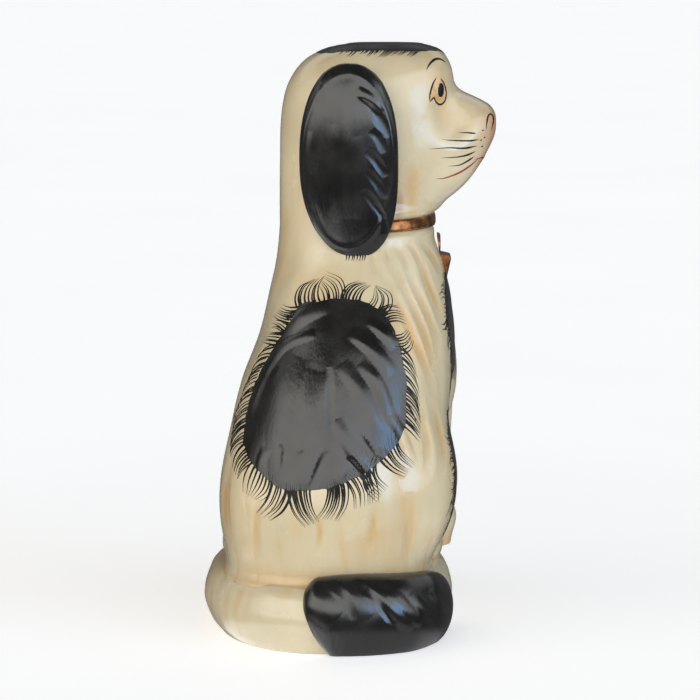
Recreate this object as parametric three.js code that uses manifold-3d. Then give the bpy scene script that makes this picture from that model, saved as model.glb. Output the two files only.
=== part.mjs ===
// Seated spaniel mantel figurine in glazed earthenware, slip-cast in thin hollow members.
// Millimetres, +Z up.  The body faces +X and the head is turned to face -Y, the display side.
// Everything is laid out around the centre of the oval plinth, and the last lines move the
// whole figure so that its origin is the bottom centre of its bounding box.
import * as THREE from 'three';
import { mergeVertices } from 'three/addons/utils/BufferGeometryUtils.js';
import Module from 'manifold-3d';

const wasm = await Module();
wasm.setup();

// ---------------------------------------------------------------- driving dimensions
const HEIGHT = 300;             // overall height, plinth to crown
const WALL = 4.5;               // cast wall
const GAP = 0.3;                // clearance between neighbouring members

const PLINTH_HEIGHT = 33;
const PLINTH_HALF_LENGTH = 95;  // along X
const PLINTH_HALF_WIDTH = 64.7; // along Y
const PLINTH_FLOOR = 4;
const VENT_RADIUS = 4.5;        // firing vent through the plinth floor

const NECK_SEAM = 212;          // height at which head and torso meet
const COLLAR_HEIGHT = 208;      // middle of the collar band
const COLLAR_WIDTH = 6;
const COLLAR_THICKNESS = 1.6;
const COLLAR_END = -10;         // the band stops here, behind the ears
const NAPE_BLOCK = 200;          // larger than the neck

const HEAD_X = 18;              // middle plane of the turned head
const MUZZLE_ROOT = 40;         // from the plinth's middle line, along -Y
const MUZZLE_REACH = 86.8;
const EAR_Y = -10;
const EAR_Z = 242;
const EAR_HALF_WIDTH = 24.5;
const EAR_HALF_LENGTH = 49.5;
const EAR_HALF_THICKNESS = 9;   // half of this pad is sunk in the head
const EAR_STAND_OFF = 4;        // from the head's side to the pad's middle
const EAR_FLARE = { right: 11, left: 8 }; // degrees that the lower end swings out

const PADLOCK_HALF_WIDTH = 9;
const PADLOCK_Z = 180;
const SHACKLE_RADIUS = 5;
const SHACKLE_WIRE = 1.6;

const SEAT = PLINTH_HEIGHT + GAP; // everything on the plinth starts here

// Rounded forms that swell out of the trunk: half-axes, centre, tilt in degrees.
const HAUNCH_RIGHT = { radii: [48, 28, 43], centre: [-22, -38, 79], tilt: [0, -14, 4] };
const HAUNCH_LEFT = { radii: [47, 26.5, 40], centre: [-24, 30, 68], tilt: [0, -14, -4] };
const SHOULDER_RIGHT = { radii: [32, 24, 46], centre: [36, -42, 140], tilt: [0, 8, 0] };
const SHOULDER_LEFT = { radii: [28, 22, 42], centre: [44, 8, 142], tilt: [0, 8, 0] };

// Where each limb stands on the plinth.
const FORELEG_RIGHT = { x: 52, y: -54 };
const FORELEG_LEFT = { x: 61, y: 2 };
const FORELEG_TOP = 128;
const FOREPAW = { radii: [18, 14, 13], ahead: 6, rise: 7, tilt: [0, 6, 0] };
const HIND_PAW_RIGHT = { x: 10, y: -52 };
const HIND_PAW_LEFT = { x: 12, y: 44 };
const HIND_PAW = { radii: [27, 12, 13], rise: 6, tilt: [0, 4, 0] };

// ---------------------------------------------------------------- curves
// A smooth curve through [height, value] pairs.
function profile(points) {
  const slope = (i) => {
    const a = points[Math.max(i - 1, 0)];
    const b = points[Math.min(i + 1, points.length - 1)];
    return (b[1] - a[1]) / (b[0] - a[0]);
  };
  return (height) => {
    let i = 0;
    while (i < points.length - 2 && height > points[i + 1][0]) i += 1;
    const [z0, v0] = points[i];
    const [z1, v1] = points[i + 1];
    const span = z1 - z0;
    const t = THREE.MathUtils.clamp((height - z0) / span, 0, 1);
    const u = 1 - t;
    return v0 * u * u * (1 + 2 * t) + v1 * t * t * (3 - 2 * t)
      + span * (slope(i) * t * u * u - slope(i + 1) * t * t * u);
  };
}

// The four outlines of the trunk: rump to nape, belly to throat, display side, plain side.
const trunk = {
  rear: profile([[33, -80], [50, -83], [75, -83], [100, -79], [125, -71], [150, -60],
    [175, -46], [190, -38], [205, -30], [212, -26.5]]),
  front: profile([[33, 36], [50, 38], [75, 44], [100, 57], [125, 69], [150, 74],
    [175, 73], [190, 69.5], [205, 64], [212, 61.5]]),
  display: profile([[33, -50], [50, -55], [75, -59], [100, -60.5], [125, -63.5], [150, -64.5],
    [175, -62], [190, -58], [205, -56], [212, -56]]),
  plain: profile([[33, 52], [50, 54], [75, 54.5], [100, 51.5], [125, 45.5], [150, 36],
    [175, 30], [190, 27], [205, 25.5], [212, 25.5]]),
  power: 2.35,
};

// The same four outlines for the turned head, from the seam to the crown.
const skull = {
  rear: profile([[212, -26.5], [225, -24], [240, -23], [260, -22], [275, -20.5], [285, -17.5],
    [292, -13], [297, -6], [300, 2]]),
  front: profile([[212, 61.5], [225, 60], [240, 59], [260, 58], [275, 56.5], [285, 53.5],
    [292, 49], [297, 42], [300, 34]]),
  display: profile([[212, -56], [225, -60], [240, -63], [260, -65], [275, -65.3], [285, -64.5],
    [292, -62], [297, -57.5], [300, -49]]),
  plain: profile([[212, 25.5], [225, 25.5], [240, 25.3], [260, 24.8], [275, 22.5], [285, 18.5],
    [292, 13], [297, 5], [300, -4]]),
  power: 2.5,
};

// The muzzle runs out along -Y: half its width, its underside and its bridge against that reach.
const muzzle = {
  half: profile([[40, 33], [62, 29], [72, 24], [79, 19.5], [84, 14.5], [86.8, 8]]),
  under: profile([[40, 208], [62, 219.5], [72, 228], [79, 237.5], [84, 247], [86.8, 254]]),
  bridge: profile([[40, 280], [65, 275.5], [74, 271.5], [81, 268.5], [85, 266.5], [86.8, 264]]),
};

// ---------------------------------------------------------------- solids
// Joins a three.js geometry's shared vertices and hands it to the boolean kernel.
function solid(geometry) {
  const bare = geometry.clone();
  bare.deleteAttribute('normal');
  bare.deleteAttribute('uv');
  const merged = mergeVertices(bare, 1e-4);
  return new wasm.Manifold(new wasm.Mesh({
    numProp: 3,
    vertProperties: new Float32Array(merged.attributes.position.array),
    triVerts: new Uint32Array(merged.index.array),
  }));
}

function unite(...solids) {
  return solids.reduce((sum, next) => sum.add(next));
}

// The largest separate piece of a cut solid, without its loose slivers.
function largest(cut) {
  return cut.decompose().sort((a, b) => b.volume() - a.volume())[0];
}

// Moves every vertex of a geometry with a function of its position.
function reshape(geometry, move) {
  const position = geometry.attributes.position;
  const point = new THREE.Vector3();
  for (let i = 0; i < position.count; i += 1) {
    point.fromBufferAttribute(position, i);
    move(point);
    position.setXYZ(i, point.x, point.y, point.z);
  }
  return geometry;
}

// The factor that turns a circle of unit radius into a superellipse.
function squareness(c, s, power) {
  return (Math.abs(c) ** power + Math.abs(s) ** power) ** (-1 / power);
}

// A body between two heights whose section at each height is a superellipse set by four
// outlines.  swell moves the wall outwards, or inwards when it is negative.
function loft(outline, low, high, swell, sides, rings) {
  const drum = new THREE.CylinderGeometry(1, 1, 1, sides, rings).rotateX(Math.PI / 2);
  reshape(drum, (p) => {
    const z = low + (high - low) * (p.z + 0.5);
    const x0 = outline.rear(z) - swell;
    const x1 = outline.front(z) + swell;
    const y0 = outline.display(z) - swell;
    const y1 = outline.plain(z) + swell;
    const reach = Math.hypot(p.x, p.y);
    const c = reach ? p.x / reach : 0;
    const s = reach ? p.y / reach : 0;
    const k = reach * squareness(c, s, outline.power);
    p.set((x0 + x1) / 2 + (x1 - x0) / 2 * k * c, (y0 + y1) / 2 + (y1 - y0) / 2 * k * s, z);
  });
  return solid(drum);
}

// An egg with its three half-axes, its centre and a tilt in degrees about X, Y and Z.
function egg(radii, centre, tilt, across, down) {
  const ball = new THREE.SphereGeometry(1, across, down);
  const turn = new THREE.Euler(...tilt.map(THREE.MathUtils.degToRad));
  ball.applyMatrix4(new THREE.Matrix4().compose(
    new THREE.Vector3(...centre),
    new THREE.Quaternion().setFromEuler(turn),
    new THREE.Vector3(...radii),
  ));
  return solid(ball);
}

// Everything above a height, as a big block for trimming.
function above(height) {
  const size = 500;
  return solid(new THREE.BoxGeometry(size, size, size).translate(0, 0, height + size / 2));
}

// ---------------------------------------------------------------- plinth
function oval(z, swell) {
  // A cushion edge: full at mid-height, tucked in at the foot, rounded over at the top.
  const edge = profile([[0, -7.5], [5, -3.6], [16, 0], [25, -1.5], [30, -4], [33, -8]]);
  return {
    a: PLINTH_HALF_LENGTH + edge(z) + swell,
    b: PLINTH_HALF_WIDTH + edge(z) + swell,
  };
}

function plinthBody(low, high, swell) {
  const outline = {
    rear: (z) => -oval(z, 0).a,
    front: (z) => oval(z, 0).a,
    display: (z) => -oval(z, 0).b,
    plain: (z) => oval(z, 0).b,
    power: 2.15,
  };
  return loft(outline, low, high, swell, 40, 7);
}

function makePlinth() {
  const cushion = plinthBody(0, PLINTH_HEIGHT, 0);
  const hollow = plinthBody(PLINTH_FLOOR, PLINTH_HEIGHT - WALL, -WALL);
  const mouth = loft(trunk, PLINTH_HEIGHT - 2 * WALL, PLINTH_HEIGHT + WALL, -2 * WALL, 28, 1);
  const vent = solid(new THREE.CylinderGeometry(VENT_RADIUS, VENT_RADIUS, 4 * PLINTH_FLOOR, 20)
    .rotateX(Math.PI / 2));
  return cushion.subtract(hollow).subtract(mouth).subtract(vent);
}

// ---------------------------------------------------------------- torso
const TORSO_DETAIL = [40, 18, 22, 15]; // sides and rings of the trunk, then of each limb
// Trunk with a rounded haunch on each side and a shoulder over each foreleg.
function torsoBody(low, high, swell, [sides, rings, across, down]) {
  const limbs = unite(...[HAUNCH_RIGHT, HAUNCH_LEFT, SHOULDER_RIGHT, SHOULDER_LEFT].map(
    ({ radii, centre, tilt }) => egg(radii.map((r) => r + swell), centre, tilt, across, down),
  ));
  return loft(trunk, low, high, swell, sides, rings).add(limbs.intersect(above(low)));
}

function makeTorso() {
  const outer = torsoBody(SEAT, NECK_SEAM - GAP / 2, 0, TORSO_DETAIL);
  const inner = torsoBody(PLINTH_HEIGHT - WALL, NECK_SEAM + WALL, -WALL, [24, 12, 14, 10]);
  return outer.subtract(inner);
}

// ---------------------------------------------------------------- head
function muzzleBody(swell) {
  const reach = MUZZLE_REACH + swell;
  const snout = {
    rear: (r) => HEAD_X - muzzle.half(r),
    front: (r) => HEAD_X + muzzle.half(r),
    display: (r) => muzzle.under(r),
    plain: (r) => muzzle.bridge(r),
    power: 2.2,
  };
  return loft(snout, MUZZLE_ROOT, reach, swell, 24, 9).rotate([90, 0, 0]);
}

function headBody(swell, sides, rings) {
  return loft(skull, NECK_SEAM + GAP / 2, HEIGHT, swell, sides, rings)
    .add(muzzleBody(swell).intersect(above(NECK_SEAM + GAP / 2)));
}

function makeHead() {
  const inner = loft(skull, NECK_SEAM - WALL, HEIGHT - WALL, -WALL, 20, 8)
    .add(muzzleBody(-WALL));
  return headBody(0, 36, 15).subtract(inner);
}

// ---------------------------------------------------------------- ears
// A long oval pad lying on the side of the head; side is -1 for the right ear, 1 for the left.
function makeEar(side, flare, neighbours) {
  const root = side < 0 ? skull.rear(EAR_Z) : skull.front(EAR_Z);
  const pad = egg(
    [EAR_HALF_THICKNESS, EAR_HALF_WIDTH, EAR_HALF_LENGTH],
    [root + side * EAR_STAND_OFF, EAR_Y, EAR_Z],
    [0, -side * flare, 0],
    22,
    16,
  );
  return largest(pad.subtract(neighbours));
}

// ---------------------------------------------------------------- collar and padlock
function collarBand(low, high, inner, outer) {
  const ring = loft(trunk, low, high, outer, 40, 1);
  const bore = loft(trunk, low - GAP, high + GAP, inner, 40, 1);
  return ring.subtract(bore);
}

// The band runs round the throat from ear to ear; the nape behind them is bare.
function makeCollar() {
  const low = COLLAR_HEIGHT - COLLAR_WIDTH / 2;
  const nape = new THREE.BoxGeometry(NAPE_BLOCK, NAPE_BLOCK, NAPE_BLOCK)
    .translate(0, COLLAR_END + NAPE_BLOCK / 2, COLLAR_HEIGHT);
  return collarBand(low, low + COLLAR_WIDTH, GAP, COLLAR_THICKNESS).subtract(solid(nape));
}

// A round-bottomed padlock that lies on the chest under the chin, with its ring through it.
function makePadlock(neighbours) {
  const half = PADLOCK_HALF_WIDTH;
  const lean = 0.22;
  const thickness = 4;
  const plate = new THREE.Shape();
  plate.moveTo(-half, half + 1);
  plate.lineTo(half, half + 1);
  plate.lineTo(half, 0);
  plate.absarc(0, 0, half, 0, -Math.PI, true);
  plate.closePath();
  const rim = { bevelThickness: 1, bevelSize: 1, bevelSegments: 2, curveSegments: 10 };
  const body = new THREE.ExtrudeGeometry(plate, { depth: thickness, ...rim })
    .rotateX(Math.PI / 2 + lean)
    .translate(HEAD_X, trunk.display(PADLOCK_Z) + thickness, PADLOCK_Z);
  const ring = new THREE.TorusGeometry(SHACKLE_RADIUS, SHACKLE_WIRE, 10, 20)
    .rotateX(Math.PI / 2)
    .translate(HEAD_X, trunk.display(COLLAR_HEIGHT) - 1, PADLOCK_Z + half + 6);
  return largest(solid(body).add(solid(ring)).subtract(neighbours));
}

// ---------------------------------------------------------------- legs and paws
// A straight foreleg with its paw; the top disappears into the chest.
function makeForeleg({ x, y }, neighbours) {
  const half = profile([[33, 11.5], [50, 10.5], [75, 10.5], [97, 11], [112, 13.5], [128, 8]]);
  const limb = {
    rear: (z) => x - half(z),
    front: (z) => x + half(z),
    display: (z) => y - half(z),
    plain: (z) => y + half(z),
    power: 2.2,
  };
  const column = loft(limb, SEAT, FORELEG_TOP, 0, 20, 6);
  const place = [x + FOREPAW.ahead, y, SEAT + FOREPAW.rise];
  const paw = egg(FOREPAW.radii, place, FOREPAW.tilt, 20, 12);
  const whole = column.add(paw.intersect(above(SEAT)));
  return largest(whole.subtract(neighbours));
}

function makeHindPaw({ x, y }, neighbours) {
  const paw = egg(HIND_PAW.radii, [x, y, SEAT + HIND_PAW.rise], HIND_PAW.tilt, 22, 12);
  return largest(paw.intersect(above(SEAT)).subtract(neighbours));
}

// ---------------------------------------------------------------- tail
// A thick plume that starts at the middle of the rump, lies round the rear of the plinth and
// runs forward along the display side to its tip.
function makeTail(neighbours) {
  const spine = new THREE.CatmullRomCurve3([
    new THREE.Vector3(-86, 10, 18),
    new THREE.Vector3(-85, -14, 18),
    new THREE.Vector3(-74, -36, 17),
    new THREE.Vector3(-50, -51, 16),
    new THREE.Vector3(-20, -56, 15),
    new THREE.Vector3(8, -59, 14),
  ]);
  const halfHeight = profile([[0, 19], [0.15, 22], [0.45, 21], [0.7, 16], [1, 5]]);
  const halfDepth = profile([[0, 11], [0.15, 13.5], [0.35, 15], [0.55, 13], [0.75, 8.5], [1, 5]]);
  const up = new THREE.Vector3(0, 0, 1);
  const drum = new THREE.CylinderGeometry(1, 1, 1, 20, 24).rotateX(Math.PI / 2);
  reshape(drum, (p) => {
    const t = THREE.MathUtils.clamp(p.z + 0.5, 0, 1);
    const out = new THREE.Vector3().crossVectors(spine.getTangentAt(t), up).normalize();
    const rise = halfHeight(t) * p.x;
    const depth = halfDepth(t) * p.y;
    p.copy(spine.getPointAt(t)).addScaledVector(out, depth).addScaledVector(up, rise);
  });
  const root = egg([11, 8, 19], [-86, 10, 18], [0, 0, 0], 18, 12);
  const whole = solid(drum).add(root).intersect(above(GAP));
  return largest(whole.subtract(neighbours));
}

// ---------------------------------------------------------------- figure
const cream = { color: 0xe6dcbc, roughness: 0.22, metalness: 0 };
const black = { color: 0x0b0a0a, roughness: 0.15, metalness: 0 };
const lustre = { color: 0x8a5a34, roughness: 0.25, metalness: 0.6 };

const figure = new THREE.Group();

function add(name, body, look) {
  const { vertProperties, triVerts, numProp } = body.getMesh();
  const geometry = new THREE.BufferGeometry();
  const count = vertProperties.length / numProp;
  const position = new Float32Array(count * 3);
  for (let i = 0; i < count; i += 1) {
    for (let k = 0; k < 3; k += 1) position[i * 3 + k] = vertProperties[i * numProp + k];
  }
  geometry.setAttribute('position', new THREE.BufferAttribute(position, 3));
  geometry.setIndex(new THREE.BufferAttribute(new Uint32Array(triVerts), 1));
  geometry.computeVertexNormals();
  const mesh = new THREE.Mesh(geometry, new THREE.MeshStandardMaterial(look));
  mesh.name = name;
  figure.add(mesh);
}

const torsoCutter = torsoBody(SEAT, NECK_SEAM - GAP / 2, GAP, TORSO_DETAIL);
const headCutter = headBody(GAP, 36, 15);
const plinthCutter = plinthBody(-GAP, PLINTH_HEIGHT + GAP, GAP);
const collarLow = COLLAR_HEIGHT - COLLAR_WIDTH / 2 - GAP;
const collarCutter = collarBand(collarLow, collarLow + COLLAR_WIDTH + 2 * GAP, 0,
  COLLAR_THICKNESS + GAP);
const bodyCutter = unite(torsoCutter, plinthCutter);
const neckCutter = unite(torsoCutter, headCutter, collarCutter);

add('plinth', makePlinth(), cream);
add('torso', makeTorso(), cream);
add('head', makeHead(), cream);
add('ear_right', makeEar(-1, EAR_FLARE.right, neckCutter), black);
add('ear_left', makeEar(1, EAR_FLARE.left, neckCutter), black);
add('collar', makeCollar(), lustre);
add('padlock', makePadlock(neckCutter), lustre);
add('foreleg_right', makeForeleg(FORELEG_RIGHT, bodyCutter), cream);
add('foreleg_left', makeForeleg(FORELEG_LEFT, bodyCutter), cream);
add('hind_paw_right', makeHindPaw(HIND_PAW_RIGHT, bodyCutter), cream);
add('hind_paw_left', makeHindPaw(HIND_PAW_LEFT, bodyCutter), cream);
add('tail', makeTail(bodyCutter), black);

// The origin goes to the bottom centre of the bounding box.
const middle = new THREE.Box3().setFromObject(figure).getCenter(new THREE.Vector3());
figure.position.set(-middle.x, -middle.y, 0);

export default figure;
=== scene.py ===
"""Glazed earthenware spaniel: moulded fur, cream glaze, black enamel and brushwork.

Lengths are millimetres around the plinth's centre until to_frame() turns them into the
frame's metres.  The body faces +X, the head faces -Y (the display side) and +Z is up.
"""
import math

import bpy
import numpy as np
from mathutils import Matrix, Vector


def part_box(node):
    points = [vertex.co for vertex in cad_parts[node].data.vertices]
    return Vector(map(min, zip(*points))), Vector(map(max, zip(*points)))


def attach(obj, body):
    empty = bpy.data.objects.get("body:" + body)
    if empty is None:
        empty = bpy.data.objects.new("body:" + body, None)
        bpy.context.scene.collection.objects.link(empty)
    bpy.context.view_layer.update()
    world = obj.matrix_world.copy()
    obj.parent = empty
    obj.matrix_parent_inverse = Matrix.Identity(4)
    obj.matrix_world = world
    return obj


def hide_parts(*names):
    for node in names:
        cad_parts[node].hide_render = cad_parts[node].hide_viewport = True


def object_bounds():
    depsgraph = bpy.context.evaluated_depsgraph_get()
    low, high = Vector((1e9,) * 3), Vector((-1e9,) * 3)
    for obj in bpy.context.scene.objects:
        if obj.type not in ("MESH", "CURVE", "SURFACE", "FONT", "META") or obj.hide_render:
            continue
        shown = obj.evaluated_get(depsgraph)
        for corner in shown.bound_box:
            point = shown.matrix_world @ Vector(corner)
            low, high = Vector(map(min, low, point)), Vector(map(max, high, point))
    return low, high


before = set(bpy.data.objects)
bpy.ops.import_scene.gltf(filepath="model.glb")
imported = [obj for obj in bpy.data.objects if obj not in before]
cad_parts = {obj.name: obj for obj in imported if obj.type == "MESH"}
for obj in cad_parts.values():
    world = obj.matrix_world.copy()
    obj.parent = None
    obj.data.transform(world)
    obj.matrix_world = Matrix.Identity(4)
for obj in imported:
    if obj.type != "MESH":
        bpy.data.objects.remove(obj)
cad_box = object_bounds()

import openvdb
from mathutils import Matrix, Vector
from mathutils.bvhtree import BVHTree

MM = 0.001
PLINTH_LOW, PLINTH_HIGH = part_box("plinth")
CENTRE = np.array([*((PLINTH_LOW + PLINTH_HIGH) / 2).xy, 0.0])


def node_box(name):
    """A CAD node's corners in plinth-centred millimetres."""
    low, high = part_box(name)
    return (np.array(low) - CENTRE) / MM, (np.array(high) - CENTRE) / MM


def to_frame(points):
    return np.asarray(points, float) * MM + CENTRE


HEIGHT = cad_box[1][2] / MM
HALF_LENGTH, HALF_WIDTH, PLINTH_HEIGHT = node_box("plinth")[1]
COLLAR_LOW, COLLAR_HIGH = node_box("collar")[0][2], node_box("collar")[1][2]
COLLAR_Z = (COLLAR_LOW + COLLAR_HIGH) / 2
PADLOCK_MIDDLE = sum(node_box("padlock")) / 2   # the chest is hollowed a little behind it
COLLAR_SLOPE = math.tan(math.radians(-1.5))     # the collar rises towards the display side
HEAD_X = 18.0                       # the head's middle plane


# ---------------- camera
EYE_AT = (-1750.0, -11.2, 375.0)
PITCH = math.radians(7.59)          # the camera looks down by this much
LENS = 174.7
SENSOR = 36.0


def make_camera():
    """A long lens behind the dog, a little above its head."""
    data = bpy.data.cameras.new("camera")
    data.sensor_width = SENSOR
    data.lens = LENS
    camera = bpy.data.objects.new("camera", data)
    bpy.context.scene.collection.objects.link(camera)
    camera.location = to_frame(EYE_AT)
    ahead = Vector((math.cos(PITCH), 0.0, -math.sin(PITCH)))
    camera.rotation_euler = ahead.to_track_quat("-Z", "Y").to_euler()
    bpy.context.scene.camera = camera


make_camera()


# ---------------- curves, noise and masks
def profile(*knots):
    """A smooth curve through (position, value) pairs, as a function of an array."""
    xs, ys = np.array(knots, float).T
    slopes = np.concatenate(([(ys[1] - ys[0]) / (xs[1] - xs[0])],
                             (ys[2:] - ys[:-2]) / (xs[2:] - xs[:-2]),
                             [(ys[-1] - ys[-2]) / (xs[-1] - xs[-2])]))

    def value(at):
        at = np.asarray(at, float)
        i = np.clip(np.searchsorted(xs, at) - 1, 0, len(xs) - 2)
        span = xs[i + 1] - xs[i]
        t = np.clip((at - xs[i]) / span, 0, 1)
        u = 1 - t
        return (ys[i] * u * u * (1 + 2 * t) + ys[i + 1] * t * t * (3 - 2 * t)
                + span * (slopes[i] * t * u * u - slopes[i + 1] * t * t * u))

    return value


def through(points, at, where):
    """A smooth path that meets each point at its own value of at, read off at where."""
    return np.stack([profile(*zip(at, c))(where) for c in points.T], axis=1)


def curve(points, count):
    """A smooth path through points, as count evenly spread samples."""
    points = np.array(points, float)
    at = np.concatenate(([0], np.cumsum(np.linalg.norm(np.diff(points, axis=0), axis=1))))
    return through(points, at, np.linspace(0, at[-1], count))


def closed_curve(outline, count):
    """A smooth closed path through an outline's points, as count samples."""
    loop = np.concatenate([outline[-2:], outline, outline[:3]])
    return through(loop, np.arange(len(loop), dtype=float),
                   np.linspace(2, 2 + len(outline), count, endpoint=False))


def step(value, low, high):
    """0 below low, 1 above high and smooth between; low may be the larger one."""
    t = np.clip((value - low) / (high - low), 0, 1)
    return t * t * (3 - 2 * t)


def between(grid, cell, t):
    """A repeating grid's value at the fractions t from each cell's first corner."""
    total = 0
    for corner in np.ndindex(2, 2, 2):
        i = (cell + corner) % grid.shape
        total = total + np.prod(np.where(corner, t, 1 - t), axis=1) * grid[tuple(i.T)]
    return total


LATTICE = np.random.default_rng(7).random((32, 32, 32))


def noise(points, scale, shift=0.0):
    """Smooth noise from -1 to 1; scale is a length, or one for each axis."""
    at = points / np.asarray(scale, float) + shift
    cell = np.floor(at).astype(int)
    return 2 * between(LATTICE, cell, step(at - cell, 0, 1)) - 1


def spot(points, centre, radii):
    """1 at the centre of a soft spot and 0 outside its radii."""
    return step(np.linalg.norm((points - np.array(centre, float)) / radii, axis=1), 1, 0)


def squared(cosine, sine, power):
    """What a circle's cosine and sine are scaled by to run round a superellipse."""
    return (np.abs(cosine) ** power + np.abs(sine) ** power) ** (-1 / power)


# ---------------- fields
def smooth_min(a, b, k):
    h = np.clip(0.5 + 0.5 * (b - a) / k, 0, 1)
    return b + (a - b) * h - k * h * (1 - h)


def smooth_max(a, b, k):
    return -smooth_min(-a, -b, k)


def egg(x, y, z, radii, centre, tilt=(0, 0, 0)):
    """A distance-like field of an ellipsoid tilted by degrees about X, Y and Z."""
    turn = np.array(Matrix.Rotation(math.radians(tilt[2]), 3, "Z")
                    @ Matrix.Rotation(math.radians(tilt[1]), 3, "Y")
                    @ Matrix.Rotation(math.radians(tilt[0]), 3, "X")).T
    d = (x - centre[0], y - centre[1], z - centre[2])
    local = [sum(turn[i, j] * d[j] for j in range(3)) for i in range(3)]
    near = np.sqrt(sum((local[i] / radii[i]) ** 2 for i in range(3))) + 1e-6
    far = np.sqrt(sum((local[i] / radii[i] ** 2) ** 2 for i in range(3))) + 1e-6
    return near * (near - 1) / far


def column(a, b, low_a, high_a, low_b, high_b, power):
    """A superellipse between two pairs of sides, each of which may vary along it."""
    mid_a, half_a = (low_a + high_a) / 2, (high_a - low_a) / 2
    mid_b, half_b = (low_b + high_b) / 2, (high_b - low_b) / 2
    r = ((np.abs(a - mid_a) / half_a) ** power + (np.abs(b - mid_b) / half_b) ** power
         + 1e-9) ** (1 / power)
    reach = np.sqrt((a - mid_a) ** 2 + (b - mid_b) ** 2) + 1e-6
    return (r - 1) * reach / r


# The outlines of trunk and skull against height.
REAR = profile((33, -80), (50, -83), (75, -83), (100, -79), (125, -71), (150, -60), (175, -45),
               (190, -35.5), (205, -28), (215, -25.5), (225, -24), (240, -23), (260, -22),
               (275, -20.5), (285, -17.5), (292, -13), (297, -6), (300, 2))
FRONT = profile((33, 36), (50, 38), (75, 44), (100, 57), (125, 69), (150, 74), (175, 73),
                (190, 69.5), (205, 64), (215, 61), (225, 60), (240, 59), (260, 58),
                (275, 56.5), (285, 53.5), (292, 49), (297, 42), (300, 34))
DISPLAY = profile((33, -50), (50, -55), (75, -59), (100, -60.5), (125, -63.5), (150, -64.5),
                  (175, -63), (190, -60), (204, -54.5), (212, -54), (225, -59.5), (240, -63),
                  (260, -65), (275, -65.3), (285, -64.5), (292, -62), (297, -57.5), (300, -49))
PLAIN = profile((33, 50), (50, 51.5), (75, 52.5), (100, 51), (125, 45.5), (150, 36), (175, 30),
                (190, 27), (205, 25.5), (212, 25.5), (225, 25.5), (240, 25.3), (260, 24.8),
                (275, 22.5), (285, 18), (292, 11.5), (297, 2), (300, -10))
POWER = profile((33, 2.4), (150, 2.3), (212, 2.35), (240, 2.5), (300, 2.5))

# The muzzle against its reach along -Y: half its width, its underside and its bridge.
MUZZLE_REACH = 87.0
MUZZLE_HALF = profile((40, 33), (62, 29), (72, 24), (79, 19.5), (84, 14.5), (88, 9))
MUZZLE_UNDER = profile((40, 208), (62, 219.5), (72, 228), (79, 237.5), (84, 246.5), (88, 253))
MUZZLE_BRIDGE = profile((40, 280), (65, 276.8), (74, 273.4), (81, 270), (85, 267.6), (88, 265.5))

BODY_FOOT = PLINTH_HEIGHT - 3      # the body sinks this far into the plinth
FORELEGS = {"foreleg_right": (52, -54), "foreleg_left": (61, 2)}
# Haunches, shoulders and the tops of the forelegs: radii, centre, tilt, blend.
MUSCLES = [((48, 28, 43), (-22, -38, 79), (0, -14, 4), 7),
           ((47, 26.5, 40), (-24, 27.7, 68), (0, -14, -4), 10),
           ((32, 24, 46), (36, -42, 140), (0, 8, 0), 9),
           ((28, 22, 42), (44, 8, 142), (0, 8, 0), 9)]
MUSCLES += [((15, 13, 26), (x - 5, y, 120), (0, 8, 0), 12) for x, y in FORELEGS.values()]
SKULL_ROUNDING = 2
MUZZLE_ROUNDING = 5
MUZZLE_ROOT = 45                   # the muzzle's reach where it leaves the skull
FILLET_HEIGHT, FILLET_SPREAD = 4, 3.4          # at the foot


def body_field(x, y, z):
    """Trunk, haunches, shoulders, head and muzzle as one smoothly blended form."""
    f = column(x, y, REAR(z), FRONT(z), DISPLAY(z), PLAIN(z), POWER(z))
    f = smooth_max(f, z - HEIGHT, SKULL_ROUNDING)
    for radii, centre, tilt, blend in MUSCLES:
        f = smooth_min(f, egg(x, y, z, radii, centre, tilt), blend)
    reach = -y
    half = MUZZLE_HALF(reach)
    muzzle = column(x, z, HEAD_X - half, HEAD_X + half, MUZZLE_UNDER(reach),
                    MUZZLE_BRIDGE(reach), 2.2)
    muzzle = smooth_max(muzzle, reach - MUZZLE_REACH, MUZZLE_ROUNDING)
    muzzle = smooth_max(muzzle, MUZZLE_ROOT - reach, MUZZLE_ROUNDING)
    f = smooth_min(f, muzzle, 6)
    for side in (-1, 1):           # eye sockets, and the hollow between cheek and muzzle
        socket = egg(x, y, z, (12, 9, 17), (HEAD_X + side * 31, -66, 268), (0, 0, side * 40))
        f = smooth_max(f, -socket, 6)
    f = f - FILLET_SPREAD * np.exp(-np.maximum(z - PLINTH_HEIGHT, -1) / FILLET_HEIGHT)
    return np.maximum(f, BODY_FOOT - z)


# ---------------- skins
def unit(vectors):
    return vectors / (np.linalg.norm(vectors, axis=1, keepdims=True) + 1e-12)


def mesh_normals(points, faces):
    """Area-weighted point normals of triangles."""
    a, b, c = (points[faces[:, i]] for i in range(3))
    normal = np.cross(b - a, c - a)
    total = np.zeros_like(points)
    for i in range(3):
        np.add.at(total, faces[:, i], normal)
    return unit(total)


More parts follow.
